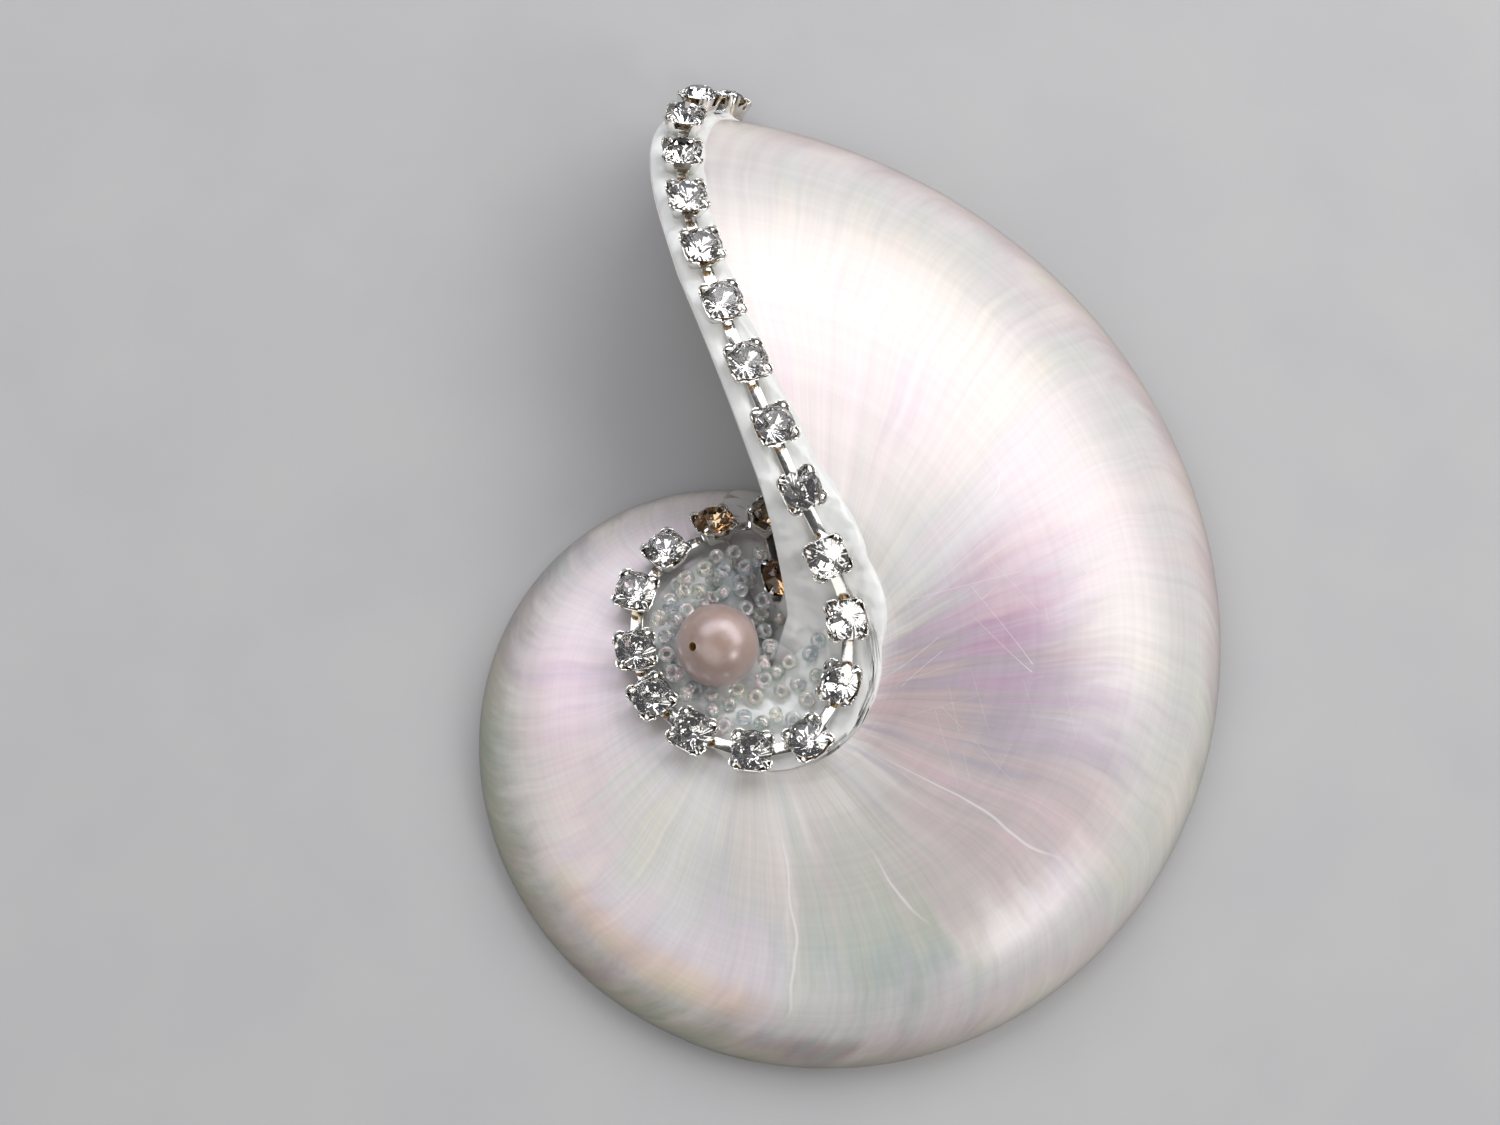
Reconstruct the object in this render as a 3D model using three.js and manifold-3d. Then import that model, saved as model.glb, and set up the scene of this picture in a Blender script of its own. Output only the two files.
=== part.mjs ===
// A nautilus shell half, polished to mother-of-pearl and cut on its plane of symmetry.
// It lies on the cut face, dome up. A chain of stones runs down the lip and coils round the
// umbilical hollow, where clear glue holds seed beads and a pearl.
// Millimetres, +Z up. The origin is on the coiling axis, in the plane of the cut.
import * as THREE from 'three';
import { mergeVertices } from 'three/addons/utils/BufferGeometryUtils.js';
import Module from 'manifold-3d';

const wasm = await Module();
wasm.setup();

const TURN = 2 * Math.PI;
const rad = THREE.MathUtils.degToRad;

// Driving dimensions of the spiral and of the whorl's section
const lipRadius = 68.7;
const whorlExpansion = 2.954;
const lipAngle = rad(103.2);
const bulgeRatio = 0.3;
const crownRatio = 0.28;
const flankPower = 2.4;
const crownWay = 0.6;
const callusHeight = 9.5;

// Driving dimensions of the walls and chambers
const wallRatio = 0.028;
const floorFilm = 0.25;
const chamberSweep = rad(138);
const septumSpacing = rad(19);
const septumSpread = 0.012;
const septumThickness = 0.055;
const septumBow = rad(13);
const chamberCount = 17;

// Driving dimensions of the chain, the pearl and the beads
const contactGap = 0.3;
const cupTop = 4.4;
const cupFoot = 3.1;
const cupHeight = 2.15;
const stoneRadius = 2.05;
const girdleHeight = 2.1;
const crownHeight = 0.85;
const pavilionDepth = 1.3;
const linkWidth = 1.3;
const linkThickness = 0.35;
const pearlRadius = 4.25;
const pearlHole = 0.45;
const beadRadius = 1;
const beadLength = 1.2;
const beadSpacing = 2.2;
const beadRise = 2.1;
const beadSides = 5;
const beadTilt = rad(12);
const beadMargin = 0.6;
// Heights over the shell of the glue bed, and of the layer that the beads stand in
const glueLevels = [0.35, 0.8];
const beadLevels = [1.15, 1.75];

// Where each cup sits: angle round the coiling axis in degrees, and way up the flank from the
// cut (0) to the axis (1). The angle runs back along the growth of the shell from the lip.
const chainStations = [
  [92, 0.05], [95.3, 0.14], [97.5, 0.23], [99, 0.31], [99.8, 0.376], [99.5, 0.434],
  [98.3, 0.487], [95.8, 0.536], [91.4, 0.578], [83.2, 0.626], [64.4, 0.707], [33, 0.752],
  [-13, 0.771], [-64, 0.709], [-104, 0.659], [-142, 0.591], [-168, 0.553], [-190, 0.514],
  [-213, 0.455], [-232, 0.424], [-252, 0.396], [-270, 0.363], [-277.5, 0.51],
];
// The last cups lean away from the packed beads, in degrees
const cupLeans = { 19: 6, 20: 14, 21: 22, 22: 22 };

const finishes = {
  nacre: { color: 0xefe8e2, roughness: 0.22, metalness: 0.05 },
  silver: { color: 0xc9c9c6, roughness: 0.2, metalness: 0.95 },
  stone: { color: 0xf4f6fa, roughness: 0.05, metalness: 0.1 },
  glue: { color: 0xe9eae6, roughness: 0.3, metalness: 0 },
  bead: { color: 0xd3ddd6, roughness: 0.12, metalness: 0 },
  pearl: { color: 0xc9a79c, roughness: 0.25, metalness: 0.05 },
};

// Spiral radius of the venter, the outer edge of the whorl
function venterRadius(angle) {
  return lipRadius * whorlExpansion ** ((angle - lipAngle) / TURN);
}

// Section of the whorl: distance from the axis as a share of the venter radius, and height
function sectionPoint(angle, way) {
  const venter = venterRadius(angle);
  if (way < crownWay) {
    const lift = (Math.PI / 2) * (way / crownWay);
    const share = crownRatio + (1 - crownRatio) * Math.cos(lift) ** (2 / flankPower);
    return { share, radius: venter * share, height: venter * bulgeRatio * Math.sin(lift) };
  }
  const share = crownRatio * (1 - way) / (1 - crownWay);
  const blend = Math.sin((Math.PI / 2) * (share / crownRatio)) ** 2;
  const height = callusHeight + (venter * bulgeRatio - callusHeight) * blend;
  return { share, radius: venter * share, height };
}

function polar(angle, radius, height) {
  return new THREE.Vector3(radius * Math.cos(angle), radius * Math.sin(angle), height);
}

function surfacePoint(angle, way) {
  const { radius, height } = sectionPoint(angle, way);
  return polar(angle, radius, height);
}

function surfaceNormal(angle, way) {
  const step = 0.001;
  const around = surfacePoint(angle + step, way).sub(surfacePoint(angle - step, way));
  const upward = surfacePoint(angle, way + step).sub(surfacePoint(angle, way - step));
  return around.cross(upward).normalize();
}

// A growth line lags behind its radius at the venter (the sinus) and towards the axis, where
// it runs straight past the axis at a small distance.
const sinusLag = rad(13);
const sinusReach = 0.4;
const sinusPower = 1.8;
const innerLag = rad(3.55);
const innerStart = 0.6;
const innerEnd = 0.1;
function growthLag(way) {
  const { share } = sectionPoint(0, way);
  let lag = 0;
  if (way < sinusReach) lag += sinusLag * (1 - way / sinusReach) ** sinusPower;
  if (share < innerStart) lag += innerLag * (1 / Math.max(share, innerEnd) - 1 / innerStart);
  return lag;
}

function meshGeometry(points, triangles) {
  const geometry = new THREE.BufferGeometry();
  const flat = new Float32Array(points.flatMap((point) => [point.x, point.y, point.z]));
  geometry.setAttribute('position', new THREE.BufferAttribute(flat, 3));
  geometry.setIndex(triangles.flat());
  return geometry;
}

function toSolid(geometry, matrix = new THREE.Matrix4()) {
  const bare = geometry.clone().applyMatrix4(matrix);
  bare.deleteAttribute('normal');
  bare.deleteAttribute('uv');
  const merged = mergeVertices(bare, 1e-4);
  const mesh = new wasm.Mesh({
    numProp: 3,
    vertProperties: new Float32Array(merged.attributes.position.array),
    triVerts: new Uint32Array(merged.index.array),
  });
  return new wasm.Manifold(mesh);
}

function toGeometry(solid) {
  const mesh = solid.getMesh();
  const geometry = new THREE.BufferGeometry();
  geometry.setAttribute('position', new THREE.BufferAttribute(mesh.vertProperties, 3));
  geometry.setIndex(new THREE.BufferAttribute(mesh.triVerts, 1));
  return geometry;
}

function makeMesh(name, geometry, finish) {
  const flat = geometry.index ? geometry.toNonIndexed() : geometry;
  flat.deleteAttribute('normal');
  flat.computeVertexNormals();
  const mesh = new THREE.Mesh(flat, new THREE.MeshStandardMaterial(finishes[finish]));
  mesh.name = name;
  return mesh;
}

// A closed block over a grid of places: pointAt(i, j, k) gives each corner
function blockSolid(countI, countJ, countK, pointAt) {
  const points = [];
  const numbers = new Map();
  const number = (i, j, k) => {
    const key = `${i} ${j} ${k}`;
    if (!numbers.has(key)) {
      numbers.set(key, points.length);
      points.push(pointAt(i, j, k));
    }
    return numbers.get(key);
  };
  const triangles = [];
  const face = (a, b, c, d) => triangles.push([a, c, b], [a, d, c]);
  const walk = (last, other, corner) => {
    for (let u = 0; u < last; u += 1) {
      for (let v = 0; v < other; v += 1) {
        face(corner(u, v), corner(u + 1, v), corner(u + 1, v + 1), corner(u, v + 1));
      }
    }
  };
  walk(countJ, countI, (j, i) => number(i, j, 0));
  walk(countI, countJ, (i, j) => number(i, j, countK));
  walk(countI, countK, (i, k) => number(i, 0, k));
  walk(countK, countI, (k, i) => number(i, countJ, k));
  walk(countK, countJ, (k, j) => number(0, j, k));
  walk(countJ, countK, (j, k) => number(countI, j, k));
  return toSolid(meshGeometry(points, triangles));
}

// The whorl's outer form over one full turn, closed by the cut below and by the step at the lip
function whorlForm() {
  const turnSteps = 60;
  const ways = [0, 0.05, 0.11, 0.18, 0.26, 0.34, 0.43, 0.52, 0.6, 0.68, 0.76, 0.84, 0.93];
  const points = [];
  for (let step = 0; step <= turnSteps; step += 1) {
    const growth = lipAngle - TURN + (TURN * step) / turnSteps;
    for (const way of ways) points.push(surfacePoint(growth - growthLag(way), way));
  }
  const top = points.push(new THREE.Vector3(0, 0, callusHeight)) - 1;
  const hub = points.push(new THREE.Vector3(2, 0, 0)) - 1;
  const rows = ways.length;
  const at = (step, row) => step * rows + row;
  const triangles = [];
  for (let step = 0; step < turnSteps; step += 1) {
    for (let row = 0; row < rows - 1; row += 1) {
      triangles.push([at(step, row), at(step + 1, row), at(step + 1, row + 1)]);
      triangles.push([at(step, row), at(step + 1, row + 1), at(step, row + 1)]);
    }
    triangles.push([at(step, rows - 1), at(step + 1, rows - 1), top]);
    triangles.push([hub, at(step + 1, 0), at(step, 0)]);
  }
  for (let row = 0; row < rows - 1; row += 1) {
    triangles.push([at(turnSteps, row), at(0, row), at(0, row + 1)]);
    triangles.push([at(turnSteps, row), at(0, row + 1), at(turnSteps, row + 1)]);
  }
  triangles.push([at(turnSteps, rows - 1), at(0, rows - 1), top]);
  triangles.push([hub, at(0, 0), at(turnSteps, 0)]);
  return toSolid(meshGeometry(points, triangles));
}

// Hollow of the tube at one angle. across runs from the older whorl (0) to the outer wall (1),
// up runs from the cut (0) to the umbilical end (1).
const hollowEnd = 0.125;
const hollowEndHeight = 0.6;
function hollowPoint(angle, across, up, film) {
  const venter = venterRadius(angle);
  const wall = wallRatio * venter;
  const place = (share) => {
    if (share > crownRatio) {
      const out = (share - crownRatio) / (1 - crownRatio);
      return bulgeRatio * Math.sqrt(Math.max(0, 1 - out ** flankPower));
    }
    const fall = (crownRatio - share) / (crownRatio - hollowEnd);
    return bulgeRatio * (1 + (hollowEndHeight - 1) * fall);
  };
  const lift = (Math.PI / 2) * Math.min(1, up / crownWay);
  const bent = crownRatio + (1 - crownRatio) * Math.cos(lift) ** (2 / flankPower);
  const rest = Math.max(0, (up - crownWay) / (1 - crownWay));
  const outerShare = up < crownWay ? bent : crownRatio + (hollowEnd - crownRatio) * rest;
  const outerRadius = Math.max(outerShare * venter - wall * Math.cos(lift), hollowEnd * venter);
  const outerHeight = venter * place(outerShare) - wall * Math.sin(lift);
  const oldVenter = venter / whorlExpansion;
  const innerEndShare = hollowEnd * whorlExpansion;
  const innerLift = Math.acos(((innerEndShare - crownRatio) / (1 - crownRatio)) ** (flankPower / 2));
  const turn = innerLift * up;
  const innerShare = crownRatio + (1 - crownRatio) * Math.cos(turn) ** (2 / flankPower);
  const innerRadius = oldVenter * innerShare + film * Math.cos(turn);
  const innerHeight = oldVenter * bulgeRatio * Math.sin(turn) + film * Math.sin(turn);
  const radius = THREE.MathUtils.lerp(innerRadius, outerRadius, across);
  const height = THREE.MathUtils.lerp(innerHeight, outerHeight, across);
  return { radius, height };
}

const upSteps = [0, 0.14, 0.3, 0.5, 0.68, 0.84, 1];
const belowCut = 1;

// A septum bows back from the lip, most in the middle of the tube
function septumLag(across, up) {
  return septumBow * (1 - (2 * across - 1) ** 2) * (1 - 0.7 * up ** 2);
}

function hollowBlock(front, back, steps, acrossCount, ups, frontLag, film) {
  return blockSolid(steps, acrossCount, ups.length, (i, j, k) => {
    const across = j / acrossCount;
    const up = k === 0 ? 0 : ups[k - 1];
    const bow = septumLag(across, up);
    const from = back - bow;
    const to = front - bow * frontLag;
    const angle = THREE.MathUtils.lerp(from, to, i / steps);
    const { radius, height } = hollowPoint(angle, across, up, film(angle));
    return polar(angle, radius, k === 0 ? -belowCut : height);
  });
}

// The floor of the tube, over the older whorl, thins to a film towards the mouth
const floorRatio = 0.02;
const filmStart = lipAngle - rad(20);
const filmFade = rad(60);
const mouthPast = rad(14);
function shellSolid() {
  const chamberBack = lipAngle - chamberSweep;
  const thinFilm = (angle) => floorRatio * venterRadius(angle);
  const filmAt = (angle) => {
    const depth = Math.min(1, Math.max(0, (filmStart - angle) / filmFade));
    return floorFilm + (thinFilm(angle) - floorFilm) * depth;
  };
  let shell = whorlForm();
  const livingFront = lipAngle + mouthPast;
  const living = hollowBlock(livingFront, chamberBack, 14, 4, upSteps, 0, filmAt);
  shell = shell.subtract(living);
  const chambers = [];
  const chamberUps = [0, 0.25, 0.5, 0.75, 1];
  for (let count = 0; count < chamberCount; count += 1) {
    const spacing = septumSpacing * (1 + septumSpread * count);
    const front = chamberBack - spacing * count - septumThickness;
    const back = chamberBack - spacing * (count + 1);
    chambers.push(hollowBlock(front, back, 1, 3, chamberUps, 1, thinFilm));
  }
  return shell.subtract(wasm.Manifold.union(chambers));
}

// One frame for each cup, standing on the shell and turned along the chain
function chainFrames() {
  const feet = chainStations.map(([angle, way]) => surfacePoint(rad(angle), way));
  return chainStations.map(([angle, way], index) => {
    const before = feet[Math.max(0, index - 1)];
    const after = feet[Math.min(feet.length - 1, index + 1)];
    const normal = surfaceNormal(rad(angle), way);
    const along = after.clone().sub(before);
    along.addScaledVector(normal, -along.dot(normal)).normalize();
    const lean = rad(cupLeans[index + 1] ?? 0);
    const outward = new THREE.Vector3().crossVectors(normal, along);
    if (outward.dot(polar(rad(angle), 1, 0)) < 0) outward.negate();
    const up = normal.clone().multiplyScalar(Math.cos(lean)).addScaledVector(outward, Math.sin(lean));
    const side = new THREE.Vector3().crossVectors(up, along);
    const base = feet[index].clone().addScaledVector(normal, contactGap + 0.1);
    base.addScaledVector(normal, (cupFoot / 2) * Math.sin(lean));
    const frame = new THREE.Matrix4().makeBasis(along, side, up);
    return frame.setPosition(base);
  });
}

// A block square across, from its half widths at rising heights
function squareBlock(levels, turn) {
  const outline = levels.map(([half, height]) => new THREE.Vector2(half * Math.SQRT2, height));
  outline.unshift(new THREE.Vector2(0, levels[0][1]));
  outline.push(new THREE.Vector2(0, levels[levels.length - 1][1]));
  const block = new THREE.LatheGeometry(outline, 4);
  block.rotateX(Math.PI / 2);
  block.rotateZ(turn);
  return toSolid(block);
}

// A pressed cup: flared square body, and a seat for the stone that is turned by an eighth, so
// that it opens a window in each side and leaves a claw folded over the stone at each corner
function cupSolid() {
  const seatFloor = 0.4;
  const seatHalf = 0.75;
  const widest = stoneRadius + contactGap;
  const clawTop = girdleHeight + crownHeight;
  const clawReach = 1.65;
  const body = squareBlock(
    [[cupFoot / 2, 0], [cupTop / 2, cupHeight], [cupTop / 2 - 0.5, clawTop]], Math.PI / 4,
  );
  const seat = squareBlock(
    [[seatHalf, seatFloor], [widest, girdleHeight], [clawReach, clawTop], [clawReach, clawTop + 1]], 0,
  );
  return body.subtract(seat);
}

// The flat link from a cup's foot to just short of the next cup
const linkHeight = 0.5;
const linkBite = 0.4;
const linkClear = 0.65;
function linkSolid(frame, nextFrame) {
  const next = new THREE.Vector3().setFromMatrixPosition(nextFrame);
  const local = next.applyMatrix4(frame.clone().invert());
  const direction = local.clone().normalize();
  const start = cupFoot / 2 - linkBite;
  const end = local.length() - cupFoot / 2 - linkClear;
  const link = new THREE.BoxGeometry(end - start, linkWidth, linkThickness);
  link.translate((start + end) / 2, 0, linkHeight);
  const turn = new THREE.Quaternion().setFromUnitVectors(new THREE.Vector3(1, 0, 0), direction);
  return toSolid(link, new THREE.Matrix4().makeRotationFromQuaternion(turn));
}

// A cut stone: flat table, eight-sided crown, girdle and pointed pavilion
function stoneGeometry() {
  const sides = 8;
  const table = 1.15;
  const girdleBand = 0.12;
  const points = [];
  const ring = (radius, height, shift) => {
    const first = points.length;
    for (let side = 0; side < sides; side += 1) {
      points.push(polar((TURN * (side + shift)) / sides, radius, height));
    }
    return first;
  };
  const tableRing = ring(table, girdleHeight + crownHeight, 0.5);
  const girdleRing = ring(stoneRadius, girdleHeight, 0);
  const lowerRing = ring(stoneRadius, girdleHeight - girdleBand, 0);
  const heart = points.push(new THREE.Vector3(0, 0, girdleHeight + crownHeight)) - 1;
  const culet = points.push(new THREE.Vector3(0, 0, girdleHeight - pavilionDepth)) - 1;
  const triangles = [];
  for (let side = 0; side < sides; side += 1) {
    const next = (side + 1) % sides;
    triangles.push([heart, tableRing + side, tableRing + next]);
    triangles.push([girdleRing + side, girdleRing + next, tableRing + side]);
    triangles.push([tableRing + side, girdleRing + next, tableRing + next]);
    triangles.push([lowerRing + side, lowerRing + next, girdleRing + next]);
    triangles.push([lowerRing + side, girdleRing + next, girdleRing + side]);
    triangles.push([culet, lowerRing + next, lowerRing + side]);
  }
  return meshGeometry(points, triangles);
}

function placed(mesh, frame) {
  frame.decompose(mesh.position, mesh.quaternion, mesh.scale);
  return mesh;
}

function chainGroup() {
  const group = new THREE.Group();
  const frames = chainFrames();
  const cup = cupSolid();
  frames.forEach((frame, index) => {
    const label = String(index + 1).padStart(2, '0');
    let setting = cup;
    if (index < frames.length - 1) setting = setting.add(linkSolid(frame, frames[index + 1]));
    group.add(placed(makeMesh(`setting_${label}`, toGeometry(setting), 'silver'), frame));
    group.add(placed(makeMesh(`stone_${label}`, stoneGeometry(), 'stone'), frame));
  });
  return group;
}

// The hollow inside the coil: radius reached at each angle, short of the cups
const bedFirst = rad(-256);
const bedLast = rad(38);
const bedInset = 3.2;
function bedReach(angle) {
  const coil = chainStations.slice(10, 22).map(([turn, way]) => {
    return { angle: rad(turn), radius: sectionPoint(rad(turn), way).radius };
  });
  const after = coil.findIndex((place) => place.angle <= angle);
  const low = coil[after < 0 ? coil.length - 1 : after];
  const high = coil[after < 1 ? coil.length - 2 : after - 1];
  const share = (angle - low.angle) / (high.angle - low.angle);
  return low.radius + (high.radius - low.radius) * share - bedInset;
}

function heightAt(angle, radius) {
  const share = radius / venterRadius(angle);
  if (share < crownRatio) {
    return sectionPoint(angle, crownWay + (1 - crownWay) * (1 - share / crownRatio)).height;
  }
  const out = (share - crownRatio) / (1 - crownRatio);
  return venterRadius(angle) * bulgeRatio * Math.sqrt(Math.max(0, 1 - out ** flankPower));
}

// The beads lie deeper at the back of the hollow, under the lip
const pileStart = rad(-150);
const pileFull = rad(-205);
const pileRise = 1.1;
function pileAt(angle) {
  return pileRise * THREE.MathUtils.smoothstep(-angle, -pileStart, -pileFull);
}

function bedSolid(bottom, top, rise = () => 0) {
  const turnSteps = 16;
  const outSteps = 3;
  const hubRadius = 1;
  return blockSolid(turnSteps, outSteps, 1, (i, j, k) => {
    const angle = THREE.MathUtils.lerp(bedFirst, bedLast, i / turnSteps);
    const radius = THREE.MathUtils.lerp(hubRadius, bedReach(angle), j / outSteps);
    const level = k === 0 ? bottom : top + rise(angle);
    return polar(angle, radius, heightAt(angle, radius) + level);
  });
}

const pearlPlace = new THREE.Vector3(-5.6, 2.6, 12.9);
const pearlAxis = new THREE.Vector3(-0.66, -0.19, 0.73).normalize();

function pearlMesh() {
  const steps = 10;
  const first = Math.asin(pearlHole / pearlRadius);
  const outline = [];
  for (let step = 0; step <= steps; step += 1) {
    const turn = THREE.MathUtils.lerp(first, Math.PI - first, step / steps);
    outline.push(new THREE.Vector2(pearlRadius * Math.sin(turn), -pearlRadius * Math.cos(turn)));
  }
  outline.push(outline[0].clone());
  const pearl = makeMesh('pearl', new THREE.LatheGeometry(outline, 16), 'pearl');
  pearl.quaternion.setFromUnitVectors(new THREE.Vector3(0, 1, 0), pearlAxis);
  pearl.position.copy(pearlPlace);
  return pearl;
}

// Rows of beads set on a triangular grid wherever the bed reaches and the pearl doesn't
function beadPlaces() {
  const places = [];
  const rowStep = beadSpacing * Math.sqrt(0.75);
  for (let row = -4; row <= 9; row += 1) {
    for (let column = -8; column <= 5; column += 1) {
      const x = (column + (row % 2 === 0 ? 0 : 0.5)) * beadSpacing;
      const y = row * rowStep;
      const radius = Math.hypot(x, y);
      let angle = Math.atan2(y, x);
      if (angle > bedLast) angle -= TURN;
      if (angle < bedFirst || radius > bedReach(angle) - beadMargin) continue;
      const fromPearl = Math.hypot(x - pearlPlace.x, y - pearlPlace.y);
      if (fromPearl < pearlRadius + beadMargin) continue;
      places.push(new THREE.Vector3(x, y, heightAt(angle, radius) + pileAt(angle)));
    }
  }
  return places;
}

function beadBedSolid() {
  const corners = [];
  for (let corner = 0; corner < beadSides; corner += 1) {
    const turn = (TURN * corner) / beadSides;
    corners.push(new THREE.Vector2(Math.cos(turn), Math.sin(turn)).multiplyScalar(beadRadius));
  }
  const bead = new THREE.ExtrudeGeometry(new THREE.Shape(corners), {
    depth: beadLength, bevelEnabled: false,
  });
  bead.translate(0, 0, -beadLength / 2);
  const beads = beadPlaces().map((place, index) => {
    const lean = beadTilt * Math.sin(index * 2.3);
    const tilt = new THREE.Euler(lean, beadTilt * Math.cos(index * 1.7), index);
    const pose = new THREE.Matrix4().makeRotationFromEuler(tilt);
    pose.setPosition(place.x, place.y, place.z + beadRise);
    return toSolid(bead, pose);
  });
  return bedSolid(...beadLevels, pileAt).add(wasm.Manifold.union(beads));
}

function pearlPocket() {
  const pocket = new THREE.SphereGeometry(pearlRadius + contactGap + 0.1, 14, 10);
  return toSolid(pocket, new THREE.Matrix4().setPosition(pearlPlace));
}

const shellHalf = new THREE.Group();
shellHalf.add(makeMesh('shell', toGeometry(shellSolid()), 'nacre'));
shellHalf.add(makeMesh('glue', toGeometry(bedSolid(...glueLevels).subtract(pearlPocket())), 'glue'));
shellHalf.add(makeMesh('bead_bed', toGeometry(beadBedSolid().subtract(pearlPocket())), 'bead'));
shellHalf.add(pearlMesh());
shellHalf.add(chainGroup());

export default shellHalf;
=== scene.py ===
import math
import random
import bpy
import bmesh
from mathutils import Matrix, Vector, noise


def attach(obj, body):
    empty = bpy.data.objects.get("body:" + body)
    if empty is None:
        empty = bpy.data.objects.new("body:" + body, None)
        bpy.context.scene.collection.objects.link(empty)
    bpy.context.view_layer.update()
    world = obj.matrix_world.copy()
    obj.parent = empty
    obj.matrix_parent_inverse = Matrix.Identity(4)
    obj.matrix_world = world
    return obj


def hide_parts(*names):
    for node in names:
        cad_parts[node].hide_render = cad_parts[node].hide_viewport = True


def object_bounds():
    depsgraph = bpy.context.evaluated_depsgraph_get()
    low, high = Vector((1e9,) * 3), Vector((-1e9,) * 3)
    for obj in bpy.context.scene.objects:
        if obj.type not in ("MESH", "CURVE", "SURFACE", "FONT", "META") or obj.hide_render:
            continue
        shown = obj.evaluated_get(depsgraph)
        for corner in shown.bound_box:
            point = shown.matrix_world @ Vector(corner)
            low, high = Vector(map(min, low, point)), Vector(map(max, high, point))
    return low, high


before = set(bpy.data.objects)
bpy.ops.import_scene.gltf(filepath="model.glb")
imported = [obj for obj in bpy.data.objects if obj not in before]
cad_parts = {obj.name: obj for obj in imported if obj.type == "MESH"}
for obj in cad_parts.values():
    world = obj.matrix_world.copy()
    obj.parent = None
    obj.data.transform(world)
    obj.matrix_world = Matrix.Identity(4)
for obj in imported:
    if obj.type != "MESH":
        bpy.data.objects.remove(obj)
cad_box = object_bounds()
scene = bpy.context.scene

# Camera
# It looks down on the dome from about 210 mm above the cut, a little from the left and from the
# closed end of the shell, so that the lip and its chain point up the picture.
camera_place = Vector((-0.02394, -0.04062, 0.20940))
camera_pan = 0.10724
camera_tip = -0.25809
camera_data = bpy.data.cameras.new("camera")
camera_data.sensor_width = 36
camera_data.lens = 48
camera_data.clip_start = 0.01
camera = bpy.data.objects.new("camera", camera_data)
scene.collection.objects.link(camera)
camera_turn = Matrix.Rotation(camera_pan, 3, "Y") @ Matrix.Rotation(camera_tip, 3, "X")
camera.matrix_world = Matrix.Translation(camera_place) @ camera_turn.transposed().to_4x4()
scene.camera = camera

# Shell
# Half of a nautilus, cut on its plane of symmetry and polished until the mother-of-pearl shows.
# It grew by turning and widening its mouth, so one growth line, turned and scaled step by step,
# sweeps the whole whorl. All lengths below are in millimetres until a piece is finished.
lip_radius = 68.7
whorl_expansion = 2.954
lip_angle = math.radians(103.2)
bulge_ratio = 0.3
crown_ratio = 0.28
flank_power = 2.4
crown_way = 0.6
callus_height = 9.5
sinus_lag = math.radians(13)
sinus_reach = 0.4
sinus_power = 1.8
inner_lag = math.radians(3.55)
inner_start = 0.6
inner_end = 0.1


def venter_radius(angle):
    """Radius of the outer edge of the whorl."""
    return lip_radius * whorl_expansion ** ((angle - lip_angle) / math.tau)


def section(angle, way):
    """Radius, height and share of the venter radius; way runs from the cut (0) to the axis (1)."""
    venter = venter_radius(angle)
    if way < crown_way:
        lift = math.pi / 2 * way / crown_way
        share = crown_ratio + (1 - crown_ratio) * max(0.0, math.cos(lift)) ** (2 / flank_power)
        return venter * share, venter * bulge_ratio * math.sin(lift), share
    share = crown_ratio * (1 - way) / (1 - crown_way)
    blend = math.sin(math.pi / 2 * share / crown_ratio) ** 2
    return venter * share, callus_height + (venter * bulge_ratio - callus_height) * blend, share


def polar(angle, radius, height):
    return Vector((radius * math.cos(angle), radius * math.sin(angle), height))


def on_shell(angle, way):
    radius, height, share = section(angle, way)
    return polar(angle, radius, height)


def shell_normal(angle, way):
    step = 0.001
    way = min(max(way, step), 1 - step)
    around = on_shell(angle + step, way) - on_shell(angle - step, way)
    upward = on_shell(angle, way + step) - on_shell(angle, way - step)
    return around.cross(upward).normalized()


def height_at(angle, radius):
    share = radius / venter_radius(angle)
    if share < crown_ratio:
        return section(angle, crown_way + (1 - crown_way) * (1 - share / crown_ratio))[1]
    out = min(1.0, (share - crown_ratio) / (1 - crown_ratio))
    return venter_radius(angle) * bulge_ratio * math.sqrt(max(0.0, 1 - out ** flank_power))


def growth_lag(way):
    """How far a growth line lags behind its own radius, at the venter and towards the axis."""
    share = section(0, way)[2]
    lag = 0
    if way < sinus_reach:
        lag += sinus_lag * (1 - way / sinus_reach) ** sinus_power
    if share < inner_start:
        lag += inner_lag * (1 / max(share, inner_end) - 1 / inner_start)
    return lag


def verts_in(geometry):
    return [part for part in geometry if isinstance(part, bmesh.types.BMVert)]


def edges_among(geometry, verts):
    chosen = set(verts)
    edges = [part for part in geometry if isinstance(part, bmesh.types.BMEdge)]
    return [edge for edge in edges if chosen.issuperset(edge.verts)]


turn_steps = 320
way_rows = 64
rim_nick = 0.35
rim_nick_count = 26
rim_nick_least = 0.3
rim_nick_reach = 1.6
ripple = 0.035
ripple_from_rim = 12
ripple_from_axis = 5
# How many waves of ripple there are in a turn and from the cut to the axis, and where they start
ripple_waves = [(90, 1.5, 0), (25, 2, 5)]
undercut_rows = 7
undercut = 3.2
undercut_turn = math.radians(28)
weld = 0.0005


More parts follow.
